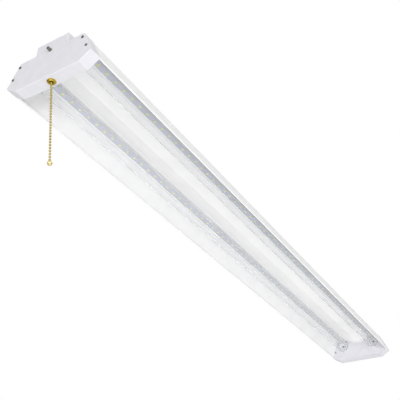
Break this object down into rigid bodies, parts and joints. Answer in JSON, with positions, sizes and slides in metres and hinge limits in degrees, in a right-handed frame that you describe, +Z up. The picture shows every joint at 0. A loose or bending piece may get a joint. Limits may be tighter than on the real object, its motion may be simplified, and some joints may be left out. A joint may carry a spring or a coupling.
{
  "type": "hanging shop light",
  "caption": "Linear hanging work light: folded white reflector with clear LED tubes, end caps, a driver channel and a bead-chain pull switch.",
  "frame": {"origin": "centre of the four hanging holes, on the outer top face of the channel", "axes": "+X along the light, away from the switch end; +Y to the left seen from the switch end; +Z up"},
  "size_m": [1.2064, 0.1466, 0.2038],
  "materials": {
    "white_steel": "satin white enamel",
    "white_plastic": "smooth white",
    "clear_plastic": "clear polycarbonate",
    "plug_plastic": "light grey",
    "board_white": "white solder mask on aluminium",
    "led_phosphor": "yellow phosphor",
    "foam_tape": "white foam tape",
    "black_screw": "black oxide",
    "zinc": "zinc-plated",
    "driver_white": "white",
    "board_green": "green laminate",
    "ferrite": "dark ferrite and tape",
    "capacitor_sleeve": "dark blue sleeve",
    "terminal_plastic": "off-white",
    "black_wire": "insulation",
    "white_wire": "insulation",
    "green_wire": "insulation",
    "green_screw": "green",
    "brown_rubber": "dark brown",
    "black_plastic": "moulded",
    "nylon": "natural nylon",
    "spring_steel": "bright",
    "brass": "bright"
  },
  "bodies": {
    "fixture": {"bell_mouth": "brass", "bracket_screws": "zinc", "channel_cover": "white_steel", "channel_screws": "zinc", "cord_gland": "brown_rubber", "driver_board": "board_green", "driver_capacitors": "capacitor_sleeve", "driver_case": "driver_white", "driver_screws": "zinc", "driver_terminals": "terminal_plastic", "driver_transformer": "ferrite", "driver_tray": "zinc", "end_brackets": "zinc", "far_end_cap": "white_plastic", "far_end_cap_screws": "black_screw", "far_end_plate": "white_plastic", "ferrule_nut": "brass", "fixed_contacts": "brass", "gland_locknut": "black_plastic", "ground_screw": "green_screw", "ground_wire": "green_wire", "led_lead_wires": "white_wire", "left_led_board": "board_white", "left_led_chips": "led_phosphor", "left_reflector_wing": "white_steel", "left_tape_pads": "foam_tape", "left_tube_lens": "clear_plastic", "left_tube_plugs": "plug_plastic", "lever_axle": "spring_steel", "mains_wires": "black_wire", "reflector_pan": "white_steel", "return_spring": "spring_steel", "right_led_board": "board_white", "right_led_chips": "led_phosphor", "right_reflector_wing": "white_steel", "right_tape_pads": "foam_tape", "right_tube_lens": "clear_plastic", "right_tube_plugs": "plug_plastic", "switch_bushing": "brass", "switch_cover": "black_plastic", "switch_end_cap": "white_plastic", "switch_end_cap_screws": "black_screw", "switch_end_plate": "white_plastic", "switch_housing": "black_plastic"},
    "pull_wire": {"pull_wire": "brass"},
    "pull_lever": {"pull_lever": "nylon"},
    "rotor": {"ratchet_rotor": "nylon", "contact_bridge": "brass"},
    "chain_swivel": {"chain_top_bead": "brass"},
    "chain_upper": {"bead_chain_upper": "brass"},
    "chain_middle": {"bead_chain_middle": "brass"},
    "chain_lower": {"bead_chain_lower": "brass", "chain_end_ball": "brass"}
  },
  "joints": [
    {"name": "chain_pull", "type": "slide", "parent": "fixture", "child": "pull_wire", "axis": [0, 0, -1], "range_m": [0, 0.0065], "stiffness_N_per_m": 400, "springref_m": -0.004},
    {"name": "lever_turn", "type": "hinge", "parent": "fixture", "child": "pull_lever", "pos_m": [-0.58975, 0.0055, -0.05295], "axis": [1, 0, 0], "range_deg": [0, 60.2]},
    {"name": "rotor_turn", "type": "hinge", "parent": "fixture", "child": "rotor", "pos_m": [-0.58975, 0.0055, -0.05295], "axis": [1, 0, 0], "continuous": true},
    {"name": "chain_swing_side", "type": "hinge", "parent": "pull_wire", "child": "chain_swivel", "pos_m": [-0.58975, -0.001, -0.06975], "axis": [1, 0, 0], "range_deg": [-28.9, 41.1]},
    {"name": "chain_swing_along", "type": "hinge", "parent": "chain_swivel", "child": "chain_upper", "pos_m": [-0.58975, -0.001, -0.06975], "axis": [0, 1, 0], "range_deg": [-30.75, 39.25]},
    {"name": "chain_bend_upper", "type": "hinge", "parent": "chain_upper", "child": "chain_middle", "pos_m": [-0.58643, -0.00575, -0.11417], "axis": [1, 0, 0], "range_deg": [-60, 60]},
    {"name": "chain_bend_lower", "type": "hinge", "parent": "chain_middle", "child": "chain_lower", "pos_m": [-0.58344, -0.01002, -0.15415], "axis": [0, 1, 0], "range_deg": [-60, 60]}
  ],
  "couplings": [
    {"joint": "lever_turn", "follows": "chain_pull", "rad_per_m": 161.11}
  ]
}
